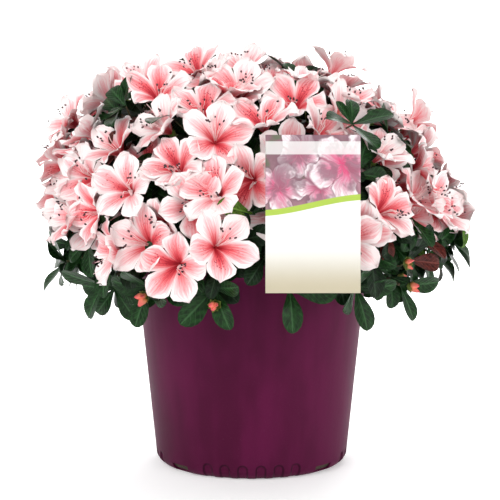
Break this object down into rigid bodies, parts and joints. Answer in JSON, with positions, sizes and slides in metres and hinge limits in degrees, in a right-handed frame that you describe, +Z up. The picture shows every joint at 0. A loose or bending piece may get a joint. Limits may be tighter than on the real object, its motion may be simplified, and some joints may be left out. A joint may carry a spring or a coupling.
{
  "type": "azalea shrub in nursery pot",
  "caption": "Domed azalea shrub in full bloom, with coral and white flowers, growing in a round plum plastic nursery pot with a plant label.",
  "frame": {"origin": "centre of the pot's flat underside, on the surface that the pot stands on", "axes": "+Z up, front of the plant with its label towards -Y, +X to the right as seen from the front"},
  "size_m": [0.5298, 0.5104, 0.5063],
  "materials": {
    "pot": "satin plum blow-moulded plastic, faintly mottled",
    "potting_mix": "coarse composted bark",
    "bark": "rough grey-brown bark",
    "foliage": "petals in white, pale pink and coral among dark green leaves",
    "label": "satin printed card"
  },
  "bodies": {
    "root": {"pot": "pot", "potting_mix": "potting_mix", "trunk": "bark", "bough_crown": "bark", "bough_upper_1": "bark", "bough_upper_2": "bark", "bough_upper_3": "bark", "bough_upper_4": "bark", "bough_upper_5": "bark", "bough_lower_1": "bark", "bough_lower_2": "bark", "bough_lower_3": "bark", "bough_lower_4": "bark", "bough_lower_5": "bark", "bough_lower_6": "bark", "bough_lower_7": "bark", "mass_crown": "foliage", "mass_upper_1": "foliage", "mass_upper_2": "foliage", "mass_upper_3": "foliage", "mass_upper_4": "foliage", "mass_upper_5": "foliage", "mass_lower_1": "foliage", "mass_lower_2": "foliage", "mass_lower_3": "foliage", "mass_lower_4": "foliage", "mass_lower_5": "foliage", "mass_lower_6": "foliage", "mass_lower_7": "foliage", "plant_label": "label"}
  },
  "joints": []
}
